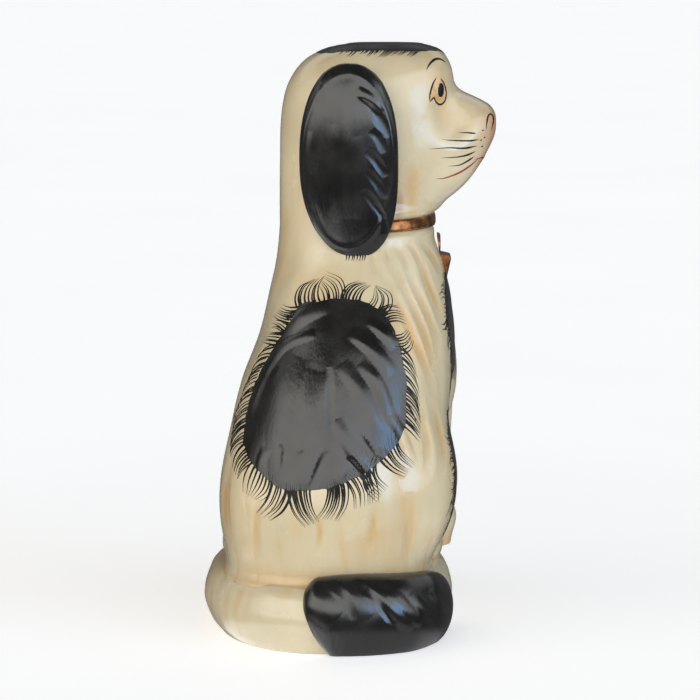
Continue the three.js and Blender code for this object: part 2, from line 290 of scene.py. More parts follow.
class Skin:
    """A surface as points, triangles and smooth outward normals, in millimetres."""

    def __init__(self, points, faces, normals=None):
        self.points = np.asarray(points, float)
        self.faces = np.asarray(faces, int)
        self.normals = mesh_normals(self.points, self.faces) if normals is None else normals

    def raised(self, relief):
        """The skin pushed out by relief(points), its normals turned by the relief's slope."""
        n = self.normals
        helper = np.where(np.abs(n[:, 2:]) < 0.9, [[0.0, 0, 1]], [[1.0, 0, 0]])
        u = unit(np.cross(helper, n))
        v = np.cross(n, u)
        reach = 0.4
        height = relief(self.points)
        slope_u = (relief(self.points + reach * u) - height) / reach
        slope_v = (relief(self.points + reach * v) - height) / reach
        normals = unit(n - slope_u[:, None] * u - slope_v[:, None] * v)
        return Skin(self.points + n * height[:, None], self.faces, normals)

    def rim(self):
        """Directed edges that only one triangle uses."""
        edges = np.concatenate([self.faces[:, [0, 1]], self.faces[:, [1, 2]],
                                self.faces[:, [2, 0]]])
        size = len(self.points)
        codes = edges[:, 0] * size + edges[:, 1]
        return edges[~np.isin(codes, edges[:, 1] * size + edges[:, 0])]

    def cut(self, inside):
        """The part where inside, one value a point, is positive, with an exact rim."""
        positive = inside[self.faces] > 0
        count = positive.sum(1)
        split = (count == 1) | (count == 2)
        one = count[split] == 1
        alone = positive[split] == one[:, None]          # the corner on its own side of the rim
        turn = (alone.argmax(1)[:, None] + np.arange(3)) % 3
        corners = np.take_along_axis(self.faces[split], turn, axis=1)
        edges = np.sort(np.concatenate([corners[:, [0, 1]], corners[:, [0, 2]]]), axis=1)
        edges, place = np.unique(edges, axis=0, return_inverse=True)
        low, high = edges.T
        t = (inside[low] / (inside[low] - inside[high]))[:, None]
        points = np.concatenate([self.points, self.points[low] * (1 - t) + self.points[high] * t])
        normals = np.concatenate([self.normals, unit(self.normals[low] * (1 - t)
                                                     + self.normals[high] * t)])
        ab, ac = place.reshape(2, -1) + len(self.points)
        a, b, c = corners.T
        faces = np.concatenate([self.faces[count == 3], np.stack([a, ab, ac], 1)[one],
                                np.stack([ab, b, c], 1)[~one], np.stack([ab, c, ac], 1)[~one]])
        used, faces = np.unique(faces, return_inverse=True)
        return Skin(points[used], faces.reshape(-1, 3), normals[used])

    def capped(self, normal):
        """The skin with its one open rim closed by a flat fan."""
        used, rim = np.unique(self.rim(), return_inverse=True)
        rim = rim.reshape(-1, 2) + len(self.points)
        hub = np.full(len(rim), len(self.points) + len(used))
        ring = self.points[used]
        points = np.concatenate([self.points, ring, [ring.mean(0)]])
        faces = np.concatenate([self.faces, np.stack([rim[:, 1], rim[:, 0], hub], axis=1)])
        normals = np.concatenate([self.normals, np.tile(normal, (len(used) + 1, 1))])
        return Skin(points, faces, normals)

    def coat(self, lift=0.14, depth=0.3):
        """A closed thin coat over an open skin, feathered down at its rim."""
        size = len(self.points)
        rim = self.rim()
        raise_by = np.full(size, lift)
        raise_by[rim.ravel()] = 0.03
        a, b = rim.T
        outer = self.points + self.normals * raise_by[:, None]
        inner = self.points - self.normals * depth
        faces = np.concatenate([self.faces, self.faces[:, ::-1] + size,
                                np.stack([b, a, a + size], axis=1),
                                np.stack([b, a + size, b + size], axis=1)])
        return Skin(np.concatenate([outer, inner]), faces,
                    np.concatenate([self.normals, -self.normals]))


def skin_of(field, low, high, voxel=1.0):
    """The zero surface of a field inside a box, meshed on a grid and settled on the field."""
    low = np.array(low, float)
    counts = np.ceil((np.array(high) - low) / voxel).astype(int) + 1
    x, y, z = np.ogrid[tuple(slice(0, c) for c in counts)]
    values = field(low[0] + voxel * x, low[1] + voxel * y, low[2] + voxel * z)
    values = np.ascontiguousarray(np.broadcast_to(values, counts), dtype=np.float32)

    def sample(points):
        at = (points - low) / voxel
        cell = np.clip(np.floor(at).astype(int), 0, counts - 2)
        return between(values, cell, at - cell)

    def gradient(points):
        reach = voxel * 0.6
        return np.stack([sample(points + reach * axis) - sample(points - reach * axis)
                         for axis in np.eye(3)], axis=1) / (2 * reach)

    grid = openvdb.FloatGrid(background=3.0)
    grid.copyFromArray(np.clip(values, -3, 3))
    points, quads = grid.convertToQuads(isovalue=0.0)
    points = low + points.astype(float) * voxel
    for _ in range(2):
        g = gradient(points)
        points = points - g * (sample(points) / ((g * g).sum(1) + 1e-9))[:, None]
    normals = unit(gradient(points))
    faces = np.concatenate([quads[:, [0, 1, 2]], quads[:, [0, 2, 3]]]).astype(int)
    a, b, c = (points[faces[:, i]] for i in range(3))
    if ((np.cross(b - a, c - a) * normals[faces[:, 0]]).sum(1) < 0).mean() > 0.5:
        faces = faces[:, ::-1]
    return Skin(points, faces, normals)


def tube(rings):
    """A closed skin through rings of points, its two ends closed by hubs."""
    rings = np.asarray(rings, float)
    rows, columns = rings.shape[:2]
    points = np.concatenate([rings.reshape(-1, 3), rings[:1].mean(1), rings[-1:].mean(1)])
    i, j = np.meshgrid(np.arange(rows - 1), np.arange(columns), indexing="ij")
    a, b = i * columns + j, i * columns + (j + 1) % columns
    c, d = a + columns, b + columns
    sides = np.concatenate([np.stack([a, b, d], -1).reshape(-1, 3),
                            np.stack([a, d, c], -1).reshape(-1, 3)])
    k = np.arange(columns)
    first = np.stack([(k + 1) % columns, k, np.full(columns, rows * columns)], 1)
    top = (rows - 1) * columns
    last = np.stack([top + k, top + (k + 1) % columns, np.full(columns, rows * columns + 1)], 1)
    return Skin(points, np.concatenate([sides, first, last]))


def facing_out(skin):
    """The closed skin with its triangles facing out."""
    a, b, c = (skin.points[skin.faces[:, i]] for i in range(3))
    return skin if (a * np.cross(b, c)).sum() > 0 else Skin(skin.points, skin.faces[:, ::-1])


# ---------------- easels and brushes
class Easel:
    """A drawing plane: where a mark at (a, b) sits and the way it is pressed inwards."""

    def __init__(self, origin, across, up, inward):
        self.origin, self.across, self.up, self.inward = (
            np.array(v, float) for v in (origin, across, up, inward))

    def place(self, marks):
        marks = np.asarray(marks, float)
        return self.origin + marks[:, :1] * self.across + marks[:, 1:2] * self.up

    def flat(self, points):
        """The plane's (a, b) of points in space."""
        d = points - self.origin
        return np.stack([d @ self.across, d @ self.up], axis=1)


SIN, COS = math.sin(PITCH), math.cos(PITCH)
BACK = Easel((-60, 0, 0), (0, 1, 0), (SIN, 0, COS), (COS, 0, -SIN))      # leans with the view
SIDES = [Easel((0, 0, 0), (0, 1, 0), (0, 0, 1), (1, 0, 0)),              # the head's right
         Easel((2 * HEAD_X, 0, 0), (0, 1, 0), (0, 0, 1), (-1, 0, 0))]    # and left cheek
FLANK = Easel((0, 0, 0), (1, 0, 0), (0, 0, 1), (0, 1, 0))                # the display side


class Canvas:
    """A skin that marks can be pressed onto from an easel."""

    def __init__(self, skin):
        self.skin = skin
        self.tree = BVHTree.FromPolygons(skin.points.tolist(), skin.faces.tolist())

    def press(self, easel, marks):
        """Points and normals under the marks, and which marks land on the skin."""
        start = easel.place(marks) - easel.inward * 300
        hits = [self.tree.ray_cast(p, easel.inward) for p in start.tolist()]
        landed = np.array([h[0] is not None for h in hits])
        points = np.array([h[0] or (0, 0, 0) for h in hits], float)
        face = self.skin.faces[[h[2] or 0 for h in hits]]
        a, b, c = (self.skin.points[face[:, i]] for i in range(3))
        areas = [np.linalg.norm(np.cross(q - points, r - points), axis=1) + 1e-9
                 for q, r in ((b, c), (c, a), (a, b))]
        normals = sum(w[:, None] * self.skin.normals[face[:, i]] for i, w in enumerate(areas))
        return points, unit(normals), landed


class Brush:
    """Tapered strokes of colour, gathered into one closed mesh."""

    LIFT = 0.16         # of a stroke's crest over the canvas
    SINK = 0.06         # of its sides into the canvas
    DEPTH = 0.35        # of its underside
    JUMP = 9            # a stroke ends where the canvas falls away by more than this
    ROOT = 3.0          # how far a tuft starts inside the patch that it hangs from

    def __init__(self, canvas, seed):
        self.canvas = canvas
        self.random = np.random.default_rng(seed)
        self.strokes = []

    def stroke(self, easel, path, width, rise=0.05, fall=0.9):
        """A stroke through points; it swells over the first part rise and thins over fall."""
        path = np.array(path, float)
        length = np.linalg.norm(np.diff(path, axis=0), axis=1).sum()
        count = max(7, int(length / 1.1))
        t = np.linspace(0, 1, count)
        half = (width / 2 * np.minimum(1, (t + 0.01) / rise) ** 0.7
                * np.minimum(1, (1.01 - t) / fall) ** 0.8)
        self.strokes.append((easel, curve(path, count), np.maximum(half, 0.05)))

    def tuft(self, easel, roots, tips, bow, count, widest=1.75):
        """Strokes side by side from a line of roots to a line of tips, bowed sideways."""
        roots, tips = np.array(roots, float), np.array(tips, float)
        lean = tips.mean(0) - roots.mean(0)
        lean /= np.linalg.norm(lean)
        spread = sum(abs(lean[0] * d[1] - lean[1] * d[0])
                     for d in (roots[-1] - roots[0], tips[-1] - tips[0])) / 2
        width = min(widest, 1.6 * spread / (count - 1))
        for i in range(count):
            t = i / (count - 1)
            jitter = self.random.normal(0, 0.35, (2, 2))
            root = roots[0] * (1 - t) + roots[-1] * t + jitter[0]
            tip = tips[0] * (1 - t) + tips[-1] * t + jitter[1]
            along = tip - root
            side = np.array([-along[1], along[0]]) * (bow[0] * (1 - t) + bow[1] * t)
            root = root - along / np.linalg.norm(along) * self.ROOT
            path = [root, root * 0.72 + tip * 0.28 + side * 0.75,
                    root * 0.35 + tip * 0.65 + side * 0.85, tip]
            self.stroke(easel, path, width * self.random.uniform(0.75, 1.25))

    def sliver(self, easel, path, half):
        """One stroke as a thin closed skin that hugs the canvas, as far as it lands there."""
        along = np.gradient(path, axis=0)
        side = unit(np.stack([-along[:, 1], along[:, 0]], axis=1)) * half[:, None]
        place, normal, landed = (
            found.reshape(3, len(path), -1)
            for found in self.canvas.press(easel, np.concatenate([path - side, path, path + side])))
        good = landed.all(0)[:, 0]
        good[1:] &= np.linalg.norm(np.diff(place[1], axis=0), axis=1) < self.JUMP
        count = len(path) if good.all() else int(np.argmin(good))
        if count < 4:
            return None
        p, n = place[:, :count], normal[:, :count]
        skin = tube(np.stack([p[0] - self.SINK * n[0], p[1] + self.LIFT * n[1],
                              p[2] - self.SINK * n[2], p[1] - self.DEPTH * n[1]], axis=1))
        normals = np.stack([n[0], n[1], n[2], -n[1]], axis=1).reshape(-1, 3)
        turn = -1 if np.cross(easel.across, easel.up) @ easel.inward < 0 else 1
        return Skin(skin.points, skin.faces[:, ::turn],
                    np.concatenate([normals, n[1, [0, -1]]]))

    def skin(self):
        """All strokes as one skin."""
        slivers = [sliver for sliver in (self.sliver(*s) for s in self.strokes) if sliver]
        starts = np.cumsum([0] + [len(s.points) for s in slivers])
        return Skin(np.concatenate([s.points for s in slivers]),
                    np.concatenate([s.faces + start for s, start in zip(slivers, starts)]),
                    np.concatenate([s.normals for s in slivers]))


def inside_outline(flat, outline):
    """A signed distance, positive inside, from points of a plane to a smooth closed outline."""
    ring = closed_curve(outline, 160)
    best = np.full(len(flat), 1e9)
    crossings = np.zeros(len(flat), int)
    for (ax, ay), (bx, by) in zip(ring, np.roll(ring, -1, axis=0)):
        px, py = flat[:, 0] - ax, flat[:, 1] - ay
        dx, dy = bx - ax, by - ay
        t = np.clip((px * dx + py * dy) / (dx * dx + dy * dy), 0, 1)
        best = np.minimum(best, (px - t * dx) ** 2 + (py - t * dy) ** 2)
        above = (ay > flat[:, 1]) != (by > flat[:, 1])
        crossings += above & (flat[:, 0] < ax + (flat[:, 1] - ay) * dx / (dy or 1e-9))
    return np.sqrt(best) * np.where(crossings % 2 == 1, 1, -1)


def lock(flat, path, half_width, height):
    """Height over a plane of one moulded lock that swells along a path and dies at its ends."""
    path = curve(path, 12)
    result = np.zeros(len(flat))
    low, high = path.min(0) - half_width, path.max(0) + half_width
    near = np.flatnonzero(((flat > low) & (flat < high)).all(1))
    if not len(near):
        return result
    p = flat[near]
    best = np.full(len(near), 1e9)
    along = np.zeros(len(near))
    for i, (a, b) in enumerate(zip(path[:-1], path[1:])):
        d = b - a
        t = np.clip(((p - a) @ d) / (d @ d), 0, 1)
        distance = ((p - a - t[:, None] * d) ** 2).sum(1)
        closer = distance < best
        best = np.where(closer, distance, best)
        along = np.where(closer, (i + t) / (len(path) - 1), along)
    across = np.clip(1 - best / half_width ** 2, 0, 1) ** 1.4
    result[near] = height * across * np.sin(np.pi * np.clip(along, 0, 1)) ** 0.8
    return result


def locks(flat, table):
    """The heights of a table's locks, one row each: path, half width, height."""
    return sum(lock(flat, *row) for row in table)


# ---------------- moulded fur
# Locks in the back, on the BACK easel: path, half width, height (below 0 for grooves).
BACK_LOCKS = [
    ([(-20, 164), (-26, 159), (-34, 150)], 3.4, 1.0),
    ([(-11, 158), (-21, 150), (-33, 137)], 4.0, 1.2),
    ([(-7, 142), (-17, 127), (-26, 107)], 4.8, 1.2),
    ([(-16, 142), (-25, 132), (-31, 116)], 3.8, 1.1),
    ([(-30, 118), (-37, 106), (-43, 90)], 3.4, 1.0),
    ([(-25, 99), (-32, 92), (-39, 85)], 2.8, 0.8),
    ([(-4, 114), (-12, 99), (-21, 86)], 4.2, 0.9),
    ([(-15, 107), (-20, 100), (-24, 91)], 2.4, -0.9),
    ([(-10, 95), (-14, 90), (-18, 84)], 2.4, -0.9),
    ([(-1, 140), (-1, 122), (-2, 103)], 2.6, -0.7),
    ([(6, 157), (21, 151), (33, 136)], 2.8, 1.0),
    ([(-1, 172), (13, 165), (26, 153)], 4.6, 1.0),
    ([(26, 141), (33, 127), (38, 112)], 2.6, -0.9),
    ([(16, 146), (24, 125), (27, 100)], 9.0, 0.9),
    ([(5, 138), (9, 115), (12, 96)], 7.0, 0.7),
    ([(0, 99), (4, 90), (8, 78)], 2.6, -1.0),
    ([(13, 99), (15, 92), (16, 86)], 2.6, -0.5),
    ([(23, 102), (24, 95), (24, 88)], 2.1, -0.7),
    ([(-8, 91), (-6, 84), (-7, 76)], 3.0, 0.7),
    ([(30, 100), (33, 92), (33, 84)], 3.0, 0.7),
]
# Long wavy grooves that run down the display flank from the neck.
FLANK_GROOVES = [
    [(-31, 199), (-37, 184), (-45, 168), (-51, 152), (-54, 134)],
    [(-40, 200), (-43, 184), (-50, 169), (-55, 155), (-56, 142)],
    [(-26, 192), (-34, 175), (-42, 158), (-50, 140), (-55, 122)],
    [(-46, 200), (-50, 186), (-55, 172), (-59, 158)],
    [(-46, 128), (-48, 112), (-51, 98), (-50, 84)],
    [(-52, 126), (-55, 112), (-58, 98), (-57, 82)],
    [(-41, 78), (-42, 64), (-40, 50), (-38, 40)],
    [(-24, 72), (-22, 58), (-20, 46)],
    [(34, 74), (36, 60), (35, 44)],
    [(48, 96), (52, 78), (52, 60), (50, 44)],
    [(6, 70), (4, 58), (5, 46)],
]
# Short pleats fanning out below the collar.
PLEATS = [[(-20 - 7 * k, 204), (-22 - 8 * k, 196), (-24 - 8.6 * k, 187)] for k in range(5)]


BODY_RADIUS = 58                  # its mean, round an upright axis at (-5, -4)
FOLD_WIDTH = 13
RUFF_HEIGHT = 17                  # from one chevron of the chest hair to the next


def folds(points):
    """Soft vertical folds of hair round the body, 0 in their valleys and 1 on their crests."""
    around = BODY_RADIUS * np.arctan2(-points[:, 1] - 4, -(points[:, 0] + 5)) \
        + 5 * noise(points, (45, 45, 60), 3.1) + 0.12 * (points[:, 2] - 100)
    return np.abs(np.sin(np.pi * around / FOLD_WIDTH)) ** 0.7


def grooves(points):
    """How deep a point lies in the drawn grooves of flank and neck, from 0 to 1."""
    flat = BACK.flat(points)
    depth = 0
    for paths, half_width, deepest in ((FLANK_GROOVES, 3.0, 1), (PLEATS, 2.4, 0.9)):
        for path in paths:
            depth = np.maximum(depth, lock(flat, path, half_width, deepest))
    return depth * (points[:, 0] < 12)


def body_relief(points):
    """Height of the moulded detail over the plain body."""
    x, y, z = points.T
    rear = step(x, 5, -15)
    low = step(z, 118, 88)
    front = step(x, 20, 42)
    uneven = 0.6 + 0.5 * noise(points, (30, 30, 45), 11.0)
    height = 0.5 * (folds(points) - 0.5) * low * uneven
    height += 0.22 * noise(points, (8, 8, 45), 14.0) * step(z, 205, 180) * (1 - low)
    height -= 0.75 * grooves(points)
    height += locks(BACK.flat(points), BACK_LOCKS) * rear
    ruff = np.abs(np.sin((z + 0.9 * np.abs(y + 8)) * np.pi / RUFF_HEIGHT))
    height += 1.3 * (ruff - 0.5) * front * step(z, 95, 115) * step(z, 196, 180) * \
        step(np.abs(y + 8), 46, 30)
    for roll in (COLLAR_LOW - 3.2, COLLAR_HIGH + 3.4):
        height += 1.1 * np.exp(-((z - COLLAR_SLOPE * y - roll) / 2.6) ** 2) * step(y, -6, -20)
    height -= 1.8 * spot(points, PADLOCK_MIDDLE, (28, 30, 26))
    strands = noise(points, (5, 5, 60), 9.0)
    height += 0.12 * strands * step(z, 200, 215) * step(y, -25, 0)
    for side in (-1, 1):                       # eyeballs
        height += 0.8 * spot(points, (HEAD_X + side * 25, -58.5, 276.5), (9, 7, 9))
    return height


# ---------------- pieces and materials
def node(tree, kind, inputs=None, **settings):
    """A shader node with its settings, plain values and links."""
    made = tree.nodes.new(kind)
    for key, value in settings.items():
        setattr(made, key, value)
    for key, value in (inputs or {}).items():
        if isinstance(value, bpy.types.NodeSocket):
            tree.links.new(value, made.inputs[key])
        else:
            made.inputs[key].default_value = value
    return made


def mottle(tree, scale, detail=3, stretch=(1, 1, 1)):
    """A noise value over the object; scale is in waves a metre."""
    place = node(tree, "ShaderNodeTexCoord").outputs["Object"]
    spread = node(tree, "ShaderNodeMapping", {"Vector": place, "Scale": stretch})
    return node(tree, "ShaderNodeTexNoise", {
        "Vector": spread.outputs[0], "Scale": scale, "Detail": detail}).outputs[0]


def remap(tree, value, low, high, to_low=0.0, to_high=1.0):
    return node(tree, "ShaderNodeMapRange", {
        "Value": value, "From Min": low, "From Max": high,
        "To Min": to_low, "To Max": to_high}).outputs[0]


def times(tree, a, b):
    return node(tree, "ShaderNodeMath", {0: a, 1: b}, operation="MULTIPLY").outputs[0]


def mix(tree, factor, a, b):
    colours = [(*c, 1) if isinstance(c, tuple) else c for c in (a, b)]
    return node(tree, "ShaderNodeMix", {"Factor": factor, 6: colours[0], 7: colours[1]},
                data_type="RGBA").outputs[2]


def finish(name, colour, roughness, bump=None, coat=0.0, metal=0.0, ior=1.5):
    """A glossy material; colour, roughness and bump are made by functions of its tree."""
    material = bpy.data.materials.new(name)
    material.use_nodes = True
    tree = material.node_tree
    shader = tree.nodes["Principled BSDF"]
    tree.links.new(colour(tree), shader.inputs["Base Color"])
    tree.links.new(roughness(tree), shader.inputs["Roughness"])
    shader.inputs["Coat Weight"].default_value = coat
    shader.inputs["Coat Roughness"].default_value = 0.04
    shader.inputs["Metallic"].default_value = metal
    shader.inputs["IOR"].default_value = ior
    if bump:
        distance, height = bump
        relief = node(tree, "ShaderNodeBump", {"Height": height(tree), "Distance": distance,
                                               "Strength": 1.0})
        tree.links.new(relief.outputs[0], shader.inputs["Normal"])
    return material


def attribute(tree, name):
    return node(tree, "ShaderNodeAttribute", attribute_name=name).outputs["Fac"]


def cream_colour(tree):
    """Cream glaze, unevenly thick, with ochre wash settled in the hollows."""
    glaze = mix(tree, remap(tree, mottle(tree, 22, 4), 0.35, 0.7),
                (0.59, 0.515, 0.345), (0.50, 0.43, 0.285))
    streaks = remap(tree, mottle(tree, 90, 3, (1, 1, 0.12)), 0.45, 0.75, 0, 0.35)
    glaze = mix(tree, streaks, glaze, (0.54, 0.41, 0.23))
    patchy = remap(tree, mottle(tree, 60, 5, (1, 1, 0.4)), 0.3, 0.65, 0.35, 1)
    glaze = mix(tree, times(tree, attribute(tree, "wash"), patchy), glaze, (0.50, 0.27, 0.07))
    # red-brown on the nose and lips is paint; beside the right ear the same colour is a painted
    # shadow
    return mix(tree, attribute(tree, "rouge_and_ear_shadow"), glaze, (0.34, 0.085, 0.02))


def gloss(low, high, scale=40):
    return lambda tree: remap(tree, mottle(tree, scale), 0.3, 0.7, low, high)


def two_tone(a, b, scale, stretch=(1, 1, 1)):
    return lambda tree: mix(tree, remap(tree, mottle(tree, scale, 4, stretch), 0.35, 0.65), a, b)


CREAM = finish("cream glaze", cream_colour, gloss(0.16, 0.3),
               (0.0004, lambda tree: mottle(tree, 90, 2)), coat=0.5)
BLACK = finish("black enamel", two_tone((0.004, 0.004, 0.004), (0.010, 0.009, 0.008), 80),
               gloss(0.12, 0.3, 60), (0.0001, lambda tree: mottle(tree, 600, 2, (1, 1, 0.25))),
               ior=1.65)
COPPER = finish("copper lustre", two_tone((0.04, 0.02, 0.01), (0.55, 0.22, 0.07), 130),
                gloss(0.15, 0.35, 90), (0.0003, lambda tree: mottle(tree, 250)), metal=0.8)
INK = finish("brushed black", two_tone((0.004, 0.004, 0.004), (0.012, 0.011, 0.010), 120),
             gloss(0.3, 0.5, 60), ior=1.3)
BROWN = finish("brown line", two_tone((0.17, 0.025, 0.010), (0.30, 0.06, 0.02), 200),
               gloss(0.1, 0.25))
IRIS = finish("amber iris", two_tone((0.48, 0.27, 0.11), (0.60, 0.40, 0.22), 300),
              gloss(0.06, 0.15))
PUPIL = finish("blue black pupil", two_tone((0.006, 0.007, 0.010), (0.012, 0.016, 0.024), 300),
               gloss(0.2, 0.3), ior=1.3)


def piece(name, skin, material, replaces=(), wash=None, rouge_and_ear_shadow=None):
    """A named mesh of the figure that rides on its one body."""
    mesh = bpy.data.meshes.new(name)
    mesh.vertices.add(len(skin.points))
    mesh.vertices.foreach_set("co", to_frame(skin.points).ravel())
    mesh.loops.add(skin.faces.size)
    mesh.loops.foreach_set("vertex_index", skin.faces.ravel())
    mesh.polygons.add(len(skin.faces))
    mesh.polygons.foreach_set("loop_start", np.arange(0, skin.faces.size, 3))
    mesh.update(calc_edges=True)
    mesh.polygons.foreach_set("use_smooth", np.ones(len(skin.faces), bool))
    mesh.normals_split_custom_set_from_vertices(skin.normals)
    # the red-brown attribute holds nose and lip paint and the painted shadow beside the right ear
    for key, values in (("wash", wash), ("rouge_and_ear_shadow", rouge_and_ear_shadow)):
        if values is not None:
            mesh.attributes.new(key, "FLOAT", "POINT").data.foreach_set("value", values)
    mesh.materials.append(material)
    made = bpy.data.objects.new(name, mesh)
    bpy.context.scene.collection.objects.link(made)
    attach(made, "root")
    if replaces:
        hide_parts(*replaces)


# ---------------- body: torso and head
BODY_CORNERS = (-92, -95, BODY_FOOT - 3), (82, 64, HEIGHT + 4)
body = skin_of(body_field, *BODY_CORNERS, voxel=1.1).raised(body_relief)
canvas = Canvas(body)


def body_wash(points):
    """Where ochre wash has settled: hollows, folds, the foot and behind the head."""
    y, z = points.T[1:]
    low = step(z, 125, 80)
    wash = 0.15 + 0.8 * grooves(points) ** 3
    wash += 0.5 * (1 - folds(points)) ** 2 * low \
        * step(noise(points, (16, 16, 26), 13.0), -0.2, 0.6)
    wash += 0.3 * step(noise(points, (14, 14, 22), 5.0), 0.1, 0.8) * low
    wash += 0.5 * step(z, 42, 33) * step(noise(points, 12, 2.0), -0.4, 0.5)
    wash += 0.35 * step(noise(points, (6, 6, 70), 7.0), 0.15, 0.7) * step(z, 205, 225) \
        * step(y, -15, 5)
    wash += 0.6 * spot(points, (-22, -44, 225), (12, 7, 26))
    wash += 0.35 * spot(points, (0, -62, 262), (22, 12, 16))
    wash += 0.3 * spot(points, (6, -78, 262), (18, 12, 10))
    wash += 0.3 * step(noise(points, 26, 8.0), 0.1, 0.7)
    return np.clip(wash, 0, 0.9)


def body_rouge_and_ear_shadow(points):
    """Red-brown paint on the front of the nose and at the lips, and a painted shadow beside the
    right ear where it shades the head.
    """
    nose = spot(points, (HEAD_X, -95, 252), (56, 25, 36))
    lips = spot(points, (HEAD_X, -80, 239), (34, 12, 8))
    # a painted shadow along the right ear's edge, where the ear shades the head
    painted_ear_shadow = spot(points, (-12, -36, 219), (22, 4.2, 15))
    return np.clip(nose + 0.5 * lips + 0.9 * painted_ear_shadow, 0, 0.85)


seam = body.points[:, 2] - COLLAR_Z - COLLAR_SLOPE * body.points[:, 1]
for name, side, cap in (("torso", -seam, (0, 0, 1)), ("head", seam, (0, 0, -1))):
    part = body.cut(side).capped(cap)
    piece(name, part, CREAM, (name,), body_wash(part.points),
          body_rouge_and_ear_shadow(part.points))

# ---------------- black patches
BACK_PATCH = [(13.6, 171.5), (4, 173), (-5, 174.5), (-20, 172.5), (-31.4, 162.5), (-37, 147),
              (-39.5, 130), (-38.5, 110), (-30, 96), (-16, 86), (0, 79.5), (12, 78.5),
              (23, 79), (35, 88), (42.5, 100), (41.5, 115), (37, 132), (28, 149), (20, 162)]


def patch(name, easel, outline, material=BLACK, ragged=0.5, lift=0.14, above=0):
    """Enamel inside an outline on the side of the body that faces the easel."""
    inside = inside_outline(easel.flat(body.points), outline)
    inside += ragged * noise(body.points, 2.6)
    seen = (body.normals @ easel.inward < 0.1) & (body.points[:, 2] > above)
    inside = np.where(seen, inside, -1)
    piece(name, body.cut(inside).coat(lift), material)


patch("back_patch", BACK, BACK_PATCH)


# ---------------- brushwork on the back
# Tufts round the back patch: line of roots, line of tips, bow at either end, how many.
BACK_TUFTS = [
    ([(14.5, 172), (3.5, 175)], [(8, 184), (1.5, 186)], (-0.34, -0.22), 8),
    ([(2.5, 173), (-5.5, 174)], [(4, 181.5), (1, 188)], (0.16, 0.42), 8),
    ([(-8.5, 174), (-17, 173)], [(-16.5, 184), (-22, 180.5)], (-0.32, -0.26), 7),
    ([(-18, 172), (-27, 168)], [(-24, 179), (-24, 181.5)], (0.26, 0.55), 7),
    ([(-27, 167), (-31.5, 161.5)], [(-36, 170.5), (-40, 162)], (-0.3, -0.22), 7),
    ([(-33, 158), (-36.5, 149)], [(-40, 159), (-43.5, 152.5)], (0.35, 0.4), 7),
    ([(-36.5, 149), (-39.5, 137)], [(-44, 139), (-46, 127)], (-0.14, -0.12), 8),
    ([(-39.5, 135), (-39.5, 123)], [(-45.5, 126), (-47, 112)], (-0.12, -0.16), 8),
    ([(-39, 122), (-38.5, 110)], [(-46, 113), (-46.5, 102)], (-0.12, -0.05), 8),
    ([(-37, 113), (-27, 94)], [(-43.5, 92), (-39, 85)], (0.24, 0.12), 9),
    ([(-27, 95), (-20, 89)], [(-30, 80), (-25, 73)], (0.3, 0.26), 8),
    ([(-19, 89), (-6.5, 83)], [(-25, 73), (-13, 69)], (-0.14, -0.2), 10),
    ([(-7, 84), (1, 79)], [(-5.5, 63), (5.5, 64.5)], (-0.2, -0.15), 9),
    ([(19, 79), (8.5, 79)], [(11.5, 60), (4, 63)], (0.16, 0.12), 10),
    ([(29, 84), (19, 78.5)], [(36, 67), (28, 63)], (-0.12, -0.2), 9),
    ([(37, 91), (30, 84)], [(42.5, 76), (34.5, 73)], (0.16, -0.35), 8),
    ([(42, 99), (37, 91)], [(48, 89), (45, 83)], (0.16, 0.2), 7),
    ([(42.5, 112), (42, 101)], [(50, 100), (49.5, 94)], (0.2, 0.22), 8),
    ([(40, 123), (42, 113)], [(48.5, 111), (49.5, 104)], (0.22, 0.2), 7),
    ([(37, 134), (40, 124)], [(44, 126), (47, 117)], (0.2, 0.22), 7),
    ([(32, 144), (36, 136)], [(39, 139), (42, 131)], (0.22, 0.2), 6),
    ([(29, 150), (32, 144)], [(35, 146), (37.5, 142)], (0.2, 0.22), 5),
    ([(25, 157), (29, 151)], [(31, 157.5), (33.5, 152)], (0.05, 0.05), 6),
    ([(22, 162), (25, 157)], [(26.5, 164.5), (29, 160)], (0.2, 0.25), 6),
    ([(16, 171), (21.5, 163)], [(24, 171.5), (28, 166)], (-0.2, -0.12), 7),
]

enamel = Brush(canvas, seed=11)
for roots, tips, bow, count in BACK_TUFTS:
    enamel.tuft(BACK, roots, tips, bow, count)
for k in range(8):                            # hairs drawn below the tip of the right ear
    y = -9.5 - 1.3 * k + enamel.random.uniform(-0.3, 0.3)
    enamel.stroke(BACK, [(y, 199), (y - 0.2, 196), (y + 0.3, 193.6)], 1.7)
piece("back_fringe", enamel.skin(), INK)


# ---------------- face
# Marks on the cheeks, as (y, z) on either side easel.
EYE = [(-55.7, 284), (-53.6, 280), (-52.2, 275), (-51.8, 271.4), (-54, 273.8), (-55, 271.8),
       (-57.2, 269.9), (-59.3, 271), (-60.3, 274.3), (-60, 277.6), (-58.3, 281.8)]
PUPIL_AT, PUPIL_HALF = (-57.6, 277), (1.8, 3.9)
EYE_LINE, WHISKER_LINE, MOUTH_LINE = 1.9, 1.5, 1.7
BROW = [(-50, 287.4), (-52.6, 291.2), (-55.7, 292.9), (-58.8, 292), (-60.6, 290.6)]
WHISKERS = [
    [(-76.2, 254.6), (-71.4, 255.1), (-67, 255.1)],
    [(-77.5, 251.4), (-72.3, 251), (-61.6, 251.6), (-58, 252.3)],
    [(-76.7, 248.2), (-70.3, 247.3), (-61.6, 247.8), (-51.6, 247.4)],
    [(-76, 245.4), (-72.3, 243.9), (-67.5, 243), (-57.7, 242.7)],
    [(-75.3, 242.7), (-71.4, 240.3), (-67.5, 238.6), (-61.4, 238.3)],
]
MOUTH = [(-77.6, 241.4), (-73.3, 237.9), (-68.5, 235), (-63.6, 233.1), (-58.7, 231.8),
         (-55.2, 232)]
